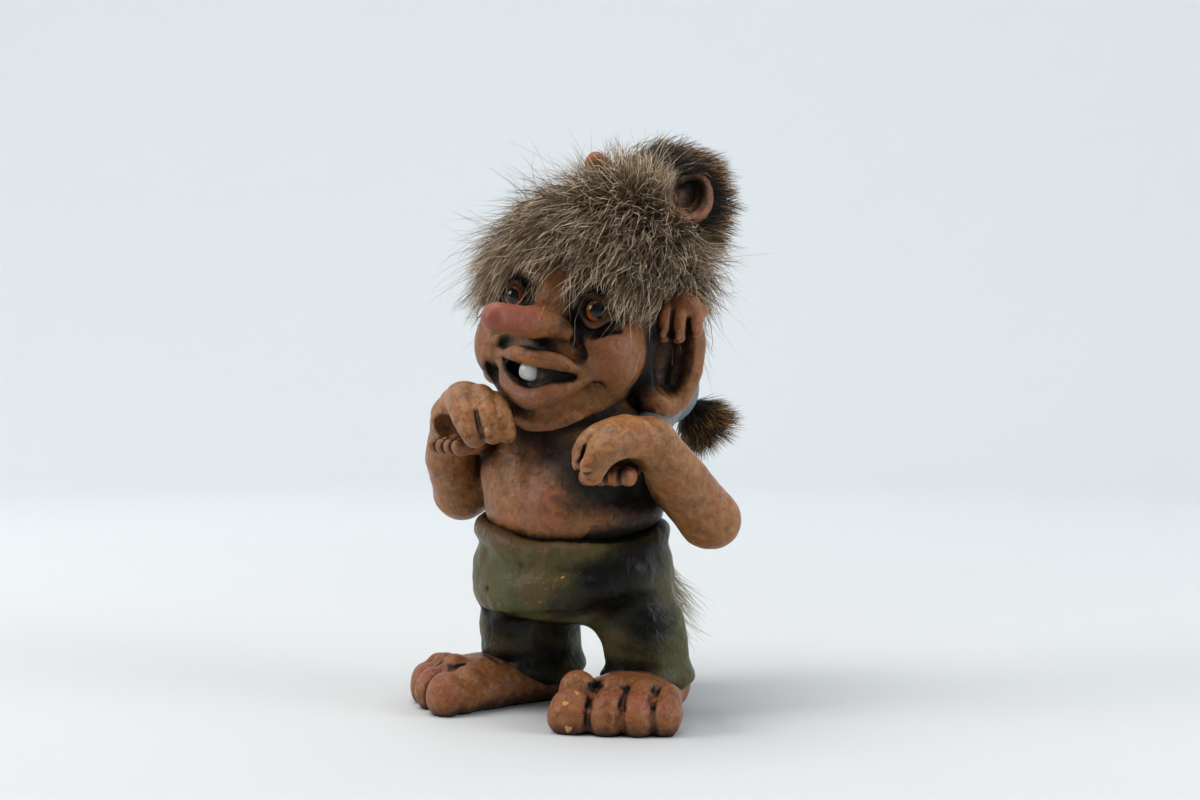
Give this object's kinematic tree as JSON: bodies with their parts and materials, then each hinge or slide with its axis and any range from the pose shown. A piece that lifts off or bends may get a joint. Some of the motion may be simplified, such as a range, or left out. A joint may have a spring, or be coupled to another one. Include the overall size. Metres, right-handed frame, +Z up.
{
  "type": "troll figurine",
  "caption": "Cast troll figurine with a long nose, glass eyes and fur hair, standing barefoot and carrying a small troll on its back, each with a pinned tail that swings.",
  "frame": {"origin": "on the floor under the middle of the whole figure's box", "axes": "+Z up, the figure faces -Y, its left hand is on +X"},
  "size_m": [0.1128, 0.1374, 0.1898],
  "materials": {
    "skin": "hand painted brown flesh with dark wash in the folds",
    "child_skin": "hand painted brown flesh with dark wash in the folds",
    "trousers": "hand painted olive green with dark shading",
    "child_trousers": "hand painted grey",
    "core": "set casting foam",
    "dowel": "plain turned wood",
    "tooth": "glossy",
    "eye_glass": "polished amber glass with a black pupil",
    "wire": "bare",
    "hair": "long grey-brown fur with pale tips",
    "dark_fur": "long black fur with golden tips",
    "tail_fur": "long light brown fur"
  },
  "bodies": {
    "figure": {"left_foot": "skin", "right_foot": "skin", "trouser_core": "core", "neck_dowel": "dowel", "head_core": "core", "head": "skin", "torso": "skin", "trousers": "trousers", "tooth": "tooth", "left_eye": "eye_glass", "left_eye_wire": "wire", "right_eye": "eye_glass", "right_eye_wire": "wire", "left_arm": "skin", "right_arm": "skin", "child_left_foot": "child_skin", "child_right_foot": "child_skin", "child_trousers": "child_trousers", "child_neck_dowel": "dowel", "child_head": "child_skin", "child_torso": "child_skin", "child_left_eye": "eye_glass", "child_right_eye": "eye_glass", "child_left_eye_wire": "wire", "child_right_eye_wire": "wire", "child_left_arm": "child_skin", "child_right_arm": "child_skin", "hair": "hair", "child_hair": "dark_fur", "tail_pin": "wire", "child_tail_pin": "wire"},
    "tail": {"tail": "skin", "tail_tuft": "tail_fur"},
    "child_tail": {"child_tail": "child_skin", "child_tail_tuft": "dark_fur"}
  },
  "joints": [
    {"name": "tail_swing", "type": "hinge", "parent": "figure", "child": "tail", "pos_m": [0.00518, 0.01659, 0.054], "axis": [1, 0, 0], "range_deg": [0, 50]},
    {"name": "child_tail_bend", "type": "hinge", "parent": "figure", "child": "child_tail", "pos_m": [0.00368, 0.04497, 0.098], "axis": [1, 0, 0], "range_deg": [-20, 20]}
  ]
}
